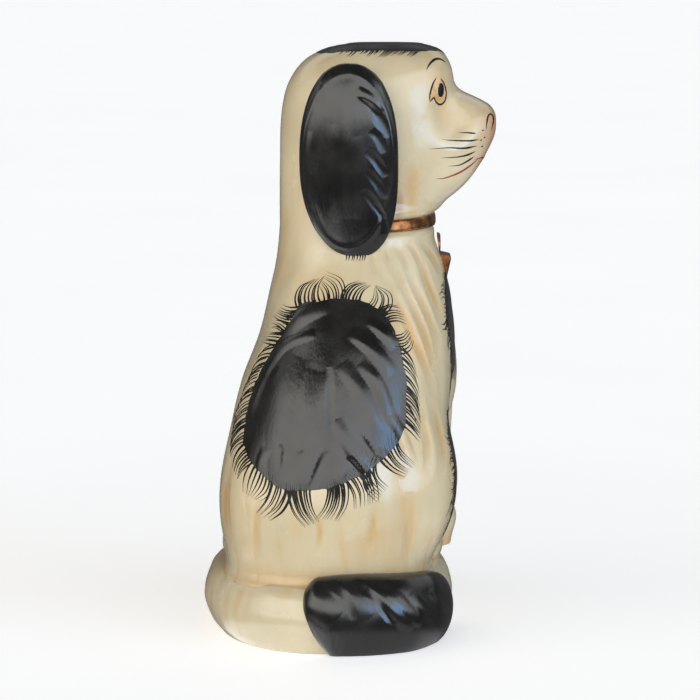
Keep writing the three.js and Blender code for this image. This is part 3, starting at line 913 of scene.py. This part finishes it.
NOSTRIL = [(-81.4, 256.5), (-81.6, 259), (-82.4, 262.8), (-83.6, 264.2), (-85.2, 262.8),
           (-85.2, 259.5), (-84, 255.5)]
FRECKLES = [(-79.7, 256), (-78.7, 251), (-80.6, 252.3), (-79.3, 247.6)]

lines = Brush(canvas, seed=5)
mouth = Brush(canvas, seed=6)
for side, easel in zip(("right", "left"), SIDES):
    patch(f"iris_{side}", easel, EYE, IRIS, ragged=0, lift=0.18)
    round_pupil = [(PUPIL_AT[0] + PUPIL_HALF[0] * math.cos(a),
                    PUPIL_AT[1] + PUPIL_HALF[1] * math.sin(a))
                   for a in np.linspace(0, 2 * math.pi, 12, endpoint=False)]
    patch(f"pupil_{side}", easel, round_pupil, PUPIL, ragged=0, lift=0.3)
    lines.stroke(easel, EYE[:4], EYE_LINE, 0.3, 0.3)
    lines.stroke(easel, EYE[3:6], EYE_LINE, 0.3, 0.3)
    lines.stroke(easel, EYE[4:] + EYE[:1], EYE_LINE, 0.2, 0.2)
    lines.stroke(easel, BROW, 2.4, 0.55, 0.55)
    for whisker in WHISKERS:
        lines.stroke(easel, whisker, WHISKER_LINE, 0.2, 0.85)
    lines.stroke(easel, NOSTRIL, WHISKER_LINE, 0.3, 0.3)
    for y, z in FRECKLES:
        lines.stroke(easel, [(y - 0.6, z), (y, z + 0.1), (y + 0.6, z)], 1.2, 0.5, 0.5)
    mouth.stroke(easel, MOUTH, MOUTH_LINE, 0.3, 0.5)
    for k in range(46):                       # fringe of the crown's black
        y = 1 - 1.3 * k + lines.random.uniform(-0.4, 0.4)
        drop = lines.random.uniform(2.6, 5.4)
        lines.stroke(easel, [(y, 299.2), (y + 0.5 * drop, 299.2 - 0.6 * drop),
                             (y + drop, 299.2 - drop)], 1.6)
mouth.stroke(FLANK, [(HEAD_X, 263), (HEAD_X, 254), (HEAD_X, 247), (HEAD_X, 241.5)], 1.8, 0.3, 0.3)
for side in (-1, 1):
    mouth.stroke(FLANK, [(HEAD_X, 242), (HEAD_X + side * 6, 240.6), (HEAD_X + side * 13, 241.6),
                         (HEAD_X + side * 19, 241)], 1.3, 0.3, 0.3)
piece("face_lines", lines.skin(), INK)
piece("mouth_lines", mouth.skin(), BROWN)

CROWN = Easel((0, 0, 0), (0, 1, 0), (1, 0, 0), (0, 0, -1))
CROWN_PATCH = [(6, 18), (3, 4), (-8, -3.5), (-22, -5), (-38, -5), (-50, -1), (-57, 8), (-60, 18),
               (-57, 28), (-50, 37), (-38, 41), (-22, 41), (-8, 39.5), (3, 32)]
patch("crown_patch", CROWN, CROWN_PATCH, INK, ragged=0.8, above=285)


# ---------------- display side patches
def bristle(brush, easel, outline, spacing, reach, lean):
    """Short curved strokes all round a patch outline, leaning with the fall of the hair."""
    length = np.linalg.norm(np.diff(outline + outline[:1], axis=0), axis=1).sum()
    ring = closed_curve(outline, int(length / spacing))
    along = unit(np.roll(ring, -1, axis=0) - np.roll(ring, 1, axis=0))
    middle = ring.mean(0)
    outward = np.stack([along[:, 1], -along[:, 0]], axis=1)
    outward *= np.sign(((ring - middle) * outward).sum(1))[:, None]
    for k, (root, out) in enumerate(zip(ring, outward)):
        grow = reach * brush.random.uniform(0.6, 1.15) * (0.75 + 0.35 * math.sin(k * 0.9))
        tip = root + out * grow + np.array(lean) * grow
        bend = np.array([out[1], -out[0]]) * grow * 0.22 * (1 if math.sin(k * 0.45) > 0 else -1)
        brush.stroke(easel, [root - out * 1.2, (root + tip) / 2 + bend, tip],
                     2.0 * brush.random.uniform(0.7, 1.2))


HAUNCH_PATCH = [(-40, 88), (-34, 103), (-20, 112), (-8, 108), (4, 112), (17, 101), (20, 84),
                (27, 70), (17, 58), (4, 61), (-6, 51), (-20, 52), (-27, 60), (-38, 64), (-42, 76)]
CHEST_PATCH = [(-15, 148), (-18, 162), (-9, 178), (3, 181), (14, 189), (27, 178), (32, 161),
               (28, 146), (33, 134), (24, 124), (11, 128), (0, 119), (-10, 128), (-9, 138)]
display = Brush(canvas, seed=21)
for name, outline in (("haunch", HAUNCH_PATCH), ("chest", CHEST_PATCH)):
    patch(f"{name}_patch", FLANK, outline, ragged=0.7)
    bristle(display, FLANK, outline, 1.5, 7.5, (-0.1, -0.45))
piece("display_fringe", display.skin(), INK)


# ---------------- ears
# Grooves and locks of the ear, as (y, z): path, half width, height.
EAR_LOCKS = [
    ([(-14, 279), (-21, 275), (-27, 268)], 3.2, -0.8),
    ([(-13, 273), (-21, 270), (-27, 262), (-29, 255)], 3.4, 0.8),
    ([(-22, 259), (-26, 254), (-28, 247)], 2.8, 0.6),
    ([(-20, 249), (-25, 243), (-29, 235)], 3.2, 0.7),
    ([(-20, 239), (-25, 232), (-29, 224)], 3.0, 0.5),
    ([(-18, 229), (-24, 221), (-28, 212)], 3.0, 0.5),
    ([(-24, 222), (-28, 214), (-29, 206)], 2.2, 0.5),
    ([(-1, 287), (2, 281), (3, 275)], 2.4, 0.5),
    ([(9, 258), (10, 236), (7, 216), (1, 203)], 2.0, -0.6),
    ([(6, 240), (6, 225), (3, 211)], 2.4, -0.4),
    ([(-9, 268), (-10, 240), (-9, 214)], 4.0, -0.5),
    ([(-3, 262), (-3, 236), (-4, 212)], 4.0, -0.4),
    ([(-15, 256), (-16, 236), (-14, 214)], 4.0, -0.4),
]
EAR_LOW, EAR_HIGH = node_box("ear_right")
EAR_Y, EAR_Z = (EAR_LOW[1] + EAR_HIGH[1]) / 2, (EAR_LOW[2] + EAR_HIGH[2]) / 2 + 0.8
EAR_HALF_Y, EAR_HALF_Z = (EAR_HIGH[1] - EAR_LOW[1]) / 2 + 0.7, (EAR_HIGH[2] - EAR_LOW[2]) / 2 + 0.8
EAR_POWER = 2.3
EAR_CREST_X = -38.0                 # the middle of the ear's face
EAR_LEAN = math.tan(math.radians(5))          # it lies back towards the neck lower down
EAR_CURL = 2.6 / 40 ** 2             # its tip curls forward by this times the drop squared
EAR_RECESS = {"top": 16.0, "side": 9.0, "tip": 3.5}      # how far its rim falls back


def ear_skin():
    """A long pendent ear: a pillowed face with a rolled rim, set into the head behind."""
    turn = np.linspace(0, 2 * math.pi, 280, endpoint=False)
    c, s = np.cos(turn), np.sin(turn)
    recess = EAR_RECESS["side"] + np.where(s > 0, EAR_RECESS["top"] - EAR_RECESS["side"],
                                           EAR_RECESS["tip"] - EAR_RECESS["side"]) * s ** 2
    square = squared(c, s, EAR_POWER)
    rings = []

    def ring(reach, x):
        up = EAR_HALF_Z * reach * s * square
        across = EAR_HALF_Y * reach * c * square - 0.7 - EAR_CURL * np.minimum(up, 0) ** 2
        rings.append(np.stack([x, EAR_Y + across, EAR_Z + up], axis=1))

    for reach in np.sin(np.linspace(0.03, math.pi / 2, 90)):
        ring(reach, EAR_CREST_X + recess * (1 - math.sqrt(1 - min(reach, 1) ** 2)))
    rim = EAR_CREST_X + recess
    for depth, reach in ((2, 0.995), (5, 0.98), (12, 0.95), (16, 0.6)):
        ring(reach, rim + depth)
    rings = np.array(rings)[::-1]
    rings[..., 0] -= EAR_LEAN * (rings[..., 2] - EAR_Z + 25)
    skin = tube(rings)

    def relief(points):
        flat = SIDES[0].flat(points)
        height = locks(flat, EAR_LOCKS)
        reach = np.hypot((flat[:, 0] - EAR_Y) / EAR_HALF_Y, (flat[:, 1] - EAR_Z) / EAR_HALF_Z)
        height -= 0.45 * np.exp(-((reach - 0.91) / 0.04) ** 2)
        height += 0.12 * noise(points, (4, 3, 26), 1.0)
        return height * step(points[:, 0], -20, -26)

    return skin.raised(relief)


ear = ear_skin()
FLIP = np.array([-1, 1, 1])                    # the left ear mirrors the right one
other_ear = Skin(ear.points * FLIP + [2 * HEAD_X, 0, 0], ear.faces[:, ::-1], ear.normals * FLIP)
for name, skin in (("ear_right", ear), ("ear_left", other_ear)):
    piece(name, skin, BLACK, (name,))


# ---------------- tail
TAIL_SPINE = [(-86, 14, 18), (-86, 0, 18), (-83, -18, 18), (-74, -36, 17), (-50, -51, 16),
              (-20, -56, 15), (8, -59, 14)]
TAIL_HEIGHT = profile((0, 20), (0.15, 22), (0.45, 21), (0.7, 16), (1, 5))
TAIL_DEPTH = profile((0, 11), (0.15, 13.5), (0.35, 15), (0.55, 13), (0.75, 8.5), (1, 5))
TAIL_ROUNDING = {"root": 0.07, "tip": 0.03}      # parts of the tail's length
ROOT_SLANT, ROOT_SLANT_HEIGHT = 14, 25           # the root is cut back under this height
TAIL_LOCKS = [
    ([(-19, 30), (-31, 22), (-42, 9)], 5.0, 1.0),
    ([(-29, 30), (-38, 22), (-47, 11)], 3.4, 0.8),
    ([(-41, 27), (-46, 21), (-52, 13)], 3.2, 0.7),
    ([(-49, 37), (-54, 30), (-58, 22)], 3.2, 0.7),
    ([(-51, 28), (-55, 23), (-59, 16)], 2.6, 0.6),
    ([(12, 29), (4, 22), (-5, 15)], 8.0, 0.8),
    ([(-4, 33), (-12, 26), (-20, 15)], 6.0, 0.9),
    ([(-13, 34), (-24, 25), (-33, 12)], 2.6, -0.8),
    ([(-2, 33), (-9, 26), (-14, 15)], 2.6, -0.5),
]


def tail_skin():
    """A thick tail laid round the rear of the plinth, blunt at its root."""
    rows = 170
    spine = curve(TAIL_SPINE, rows)
    along = unit(np.gradient(spine, axis=0))
    outward = unit(np.stack([along[:, 1], -along[:, 0], np.zeros(rows)], axis=1))
    outward *= np.sign((outward * spine).sum(1))[:, None]
    turn = np.linspace(0, 2 * math.pi, 120, endpoint=False)
    t = np.linspace(0, 1, rows)
    close = 1.0
    for to_end, length in ((t, TAIL_ROUNDING["root"]), (1 - t, TAIL_ROUNDING["tip"])):
        close = close * np.sqrt(np.clip(1 - np.clip(1 - to_end / length, 0, 1) ** 2, 0.0004, 1))
    depth, rise = (half[:, None] * wave for half, wave in (
        (TAIL_DEPTH(t) * close, np.cos(turn)), (TAIL_HEIGHT(t) * close, np.sin(turn))))
    rings = spine[:, None] + depth[..., None] * outward[:, None] + rise[..., None] * [0, 0, 1]
    under = np.clip(1 - rings[:, :, 2] / ROOT_SLANT_HEIGHT, 0, 1)
    rings[:, :, 1] -= ROOT_SLANT * under ** 1.7 * np.exp(-t / 0.09)[:, None]
    skin = facing_out(tube(rings))

    def relief(points):
        return locks(BACK.flat(points), TAIL_LOCKS) * step(points[:, 2], 1, 5)

    skin = skin.raised(relief)
    skin.points[:, 2] = np.maximum(skin.points[:, 2], 0.15)
    return skin


piece("tail", tail_skin(), BLACK, ("tail",))


# ---------------- plinth
PLINTH_EDGE = profile((0, -7.5), (5, -3.6), (16, 0), (25, -1.5), (30, -4), (33, -8))
PLINTH_POWER = 2.15


def plinth_skin():
    """The cushion-edged oval plinth, flat underneath."""
    turn = np.linspace(0, 2 * math.pi, 320, endpoint=False)
    c, s = np.cos(turn), np.sin(turn)
    square = squared(c, s, PLINTH_POWER)

    def ring(z, offset):
        return np.stack([(HALF_LENGTH + offset) * c * square, (HALF_WIDTH + offset) * s * square,
                         np.full_like(c, z)], axis=1)

    rings = [ring(0, -45), ring(0, -14), ring(0, -9)]
    rings += [ring(z, PLINTH_EDGE(z)) for z in np.linspace(0, PLINTH_HEIGHT, 30)]
    rings += [ring(PLINTH_HEIGHT, -12), ring(PLINTH_HEIGHT, -45)]
    skin = tube(rings)

    def relief(points):
        z = points[:, 2]
        lumps = 0.6 * noise(points, (24, 24, 30), 4.0) + 0.25 * noise(points, (9, 9, 18), 6.0)
        return lumps * step(z, 1, 8)

    return skin.raised(relief)


def plinth_wash(points):
    """Wash in the crease under the body, and runs and blots of it round the edge."""
    z = points[:, 2]
    crease = step(z, 24, 33) * step(noise(points, 11, 3.0), -0.5, 0.4)
    runs = step(noise(points, (8, 8, 60), 2.5), 0.2, 0.7)
    blots = step(noise(points, (22, 22, 30), 7.7), 0.0, 0.6)
    return np.clip(0.4 * crease + 0.3 * runs + 0.35 * blots, 0, 0.9)


plinth = plinth_skin()
piece("plinth", plinth, CREAM, ("plinth",), plinth_wash(plinth.points))


# ---------------- legs and paws
LEG_HALF = profile((33, 11.5), (50, 10.5), (75, 10.5), (97, 11.5), (115, 12), (135, 9), (150, 5))
LEG_TOP = 150
LEG_LEAN = profile((33, 0), (85, 0), (110, 2.5), (150, 10))       # back into the shoulder
HIND_PAWS = {"hind_paw_right": (10, -48), "hind_paw_left": (12, 44)}
TOE_WIDTH, CLAW_SPACING = 6.4, 6.0
FRONT_EASEL = Easel((0, 0, 0), (0, 1, 0), (0, 0, 1), (-1, 0, 0))


def foreleg_field(x, y, z, at):
    leg = np.sqrt((x - at[0] + LEG_LEAN(z)) ** 2 + (y - at[1]) ** 2) - LEG_HALF(z)
    leg = smooth_max(leg, z - LEG_TOP, 6)
    paw = egg(x, y, z, (18, 14.5, 14), (at[0] + 6, at[1], PLINTH_HEIGHT + 11), (0, 6, 0))
    return np.maximum(smooth_min(leg, paw, 5), BODY_FOOT - z)


def hind_paw_field(x, y, z, at):
    paw = egg(x, y, z, (27, 12, 13), (at[0], at[1], PLINTH_HEIGHT + 6), (0, 4, 0))
    return np.maximum(paw, BODY_FOOT - z)


def paw_piece(name, field, at, half, top):
    """A paw or leg with toes parted by grooves, its claws drawn in black."""
    def relief(points):
        x, y, z = points.T
        grip = step(x - at[0], 9, 18) * step(z - PLINTH_HEIGHT, 20, 12)
        toes = sum(np.exp(-((y - at[1] - k * TOE_WIDTH) / 1.3) ** 2) for k in (-1, 0, 1))
        return -1.3 * toes * grip + 0.15 * noise(points, (5, 5, 30), 2.0)

    low = (at[0] - half[0], at[1] - half[1], BODY_FOOT - 3)
    high = (at[0] + half[0] + 8, at[1] + half[1], top)
    skin = skin_of(lambda x, y, z: field(x, y, z, at), low, high).raised(relief)
    foot = step(skin.points[:, 2], PLINTH_HEIGHT + 9, PLINTH_HEIGHT)
    blots = step(noise(skin.points, 12, 9.1), 0, 0.7)
    piece(name, skin, CREAM, (name,), np.clip(0.6 * foot + 0.5 * blots, 0, 0.8))
    claws = Brush(Canvas(skin), seed=3)
    for k in (-1.5, -0.5, 0.5, 1.5):
        y = at[1] + k * CLAW_SPACING
        claws.stroke(FRONT_EASEL, [(y, PLINTH_HEIGHT + 9), (y, PLINTH_HEIGHT + 5),
                                   (y, PLINTH_HEIGHT + 1.5)], 1.6, 0.5, 0.6)
    piece(f"{name}_claws", claws.skin(), INK)


for name, at in FORELEGS.items():
    paw_piece(name, foreleg_field, at, (22, 19), LEG_TOP + 4)
for name, at in HIND_PAWS.items():
    paw_piece(name, hind_paw_field, at, (32, 17), PLINTH_HEIGHT + 24)


# ---------------- collar
def collar_skin():
    """A flat lustre band round the throat, slightly higher on the display side."""
    turn = np.linspace(math.pi - 0.15, 2 * math.pi + 0.15, 180)
    c, s = np.cos(turn), np.sin(turn)
    half = (COLLAR_HIGH - COLLAR_LOW) / 2
    section = [(-half, 0.0), (-half, 1.4), (-half * 0.6, 2.0), (0, 2.2), (half * 0.6, 2.0),
               (half, 1.4), (half, 0.0), (0, -1.5)]
    edges = []
    for rise, swell in section:
        z = COLLAR_Z + rise
        square = squared(c, s, float(POWER(z)))
        mid_x, half_x = (REAR(z) + FRONT(z)) / 2, (FRONT(z) - REAR(z)) / 2 + swell
        mid_y, half_y = (DISPLAY(z) + PLAIN(z)) / 2, (PLAIN(z) - DISPLAY(z)) / 2 + swell
        y = mid_y + half_y * s * square
        edges.append(np.stack([mid_x + half_x * c * square, y, z + COLLAR_SLOPE * y], axis=1))
    return facing_out(tube(np.stack(edges, axis=1)))


piece("collar", collar_skin(), COPPER, ("collar",))


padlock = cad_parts["padlock"]
padlock.data.materials.clear()
padlock.data.materials.append(COPPER)


# ---------------- studio
FLOOR_REACH = 40.0                 # metres
FLOOR_GLOW = 0.48
WINDOW_AT = (-0.63, -0.75, 0.17)   # the way to the middle of the window


def studio():
    """A pale floor, and a world that holds a broad light behind the dog and a cool window."""
    mesh = bpy.data.meshes.new("floor")
    corners = [(x * FLOOR_REACH, y * FLOOR_REACH, 0) for x, y in
               ((-1, -1), (1, -1), (1, 1), (-1, 1))]
    mesh.from_pydata(corners, [], [range(4)])
    floor = bpy.data.objects.new("floor", mesh)
    bpy.context.scene.collection.objects.link(floor)
    pale = finish("pale floor", two_tone((0.80, 0.80, 0.80), (0.78, 0.78, 0.78), 3),
                  gloss(0.6, 0.7, 5))
    shader = pale.node_tree.nodes["Principled BSDF"]
    shader.inputs["Emission Color"].default_value = (1, 1, 1, 1)
    shader.inputs["Emission Strength"].default_value = FLOOR_GLOW
    mesh.materials.append(pale)
    floor.visible_glossy = False        # the world below the horizon stands for it

    world = bpy.data.worlds.new("studio")
    world.use_nodes = True
    tree = world.node_tree
    way = node(tree, "ShaderNodeTexCoord").outputs["Generated"]
    x, y, z = node(tree, "ShaderNodeSeparateXYZ", {0: way}).outputs

    def ramp(value, low, high):
        return node(tree, "ShaderNodeMapRange", {"Value": value, "From Min": low,
                    "From Max": high}, interpolation_type="SMOOTHSTEP").outputs[0]

    # The key light stands behind the dog, the rest is a dim one high in front of it.
    key = times(tree, times(tree, ramp(z, -0.1, 0.12), ramp(z, 0.73, 0.56)), ramp(x, 0.4, -0.5))
    rest = times(tree, times(tree, ramp(z, 0.35, 0.5), ramp(z, 0.75, 0.65)), ramp(x, 0.1, 0.5))
    facing = node(tree, "ShaderNodeVectorMath", {0: way, 1: WINDOW_AT},
                  operation="DOT_PRODUCT").outputs["Value"]
    window = ramp(facing, 0.955, 0.985)
    ground = ramp(z, -0.36, -0.5)
    card = mix(tree, ramp(y, -0.3, 0.2), (2.3, 2.36, 2.42), (2.35, 2.3, 2.18))
    light = mix(tree, key, (0.1, 0.1, 0.1), card)
    light = mix(tree, rest, light, (0.7, 0.7, 0.7))
    light = mix(tree, window, light, (2.2, 3.6, 5.6))
    below = mix(tree, ramp(y, -0.05, 0.3), (0.6, 0.6, 0.62), (1.5, 1.5, 1.5))
    light = mix(tree, ground, light, below)
    tree.links.new(light, tree.nodes["Background"].inputs[0])
    bpy.context.scene.world = world
    bpy.context.scene.view_settings.view_transform = "Standard"


studio()
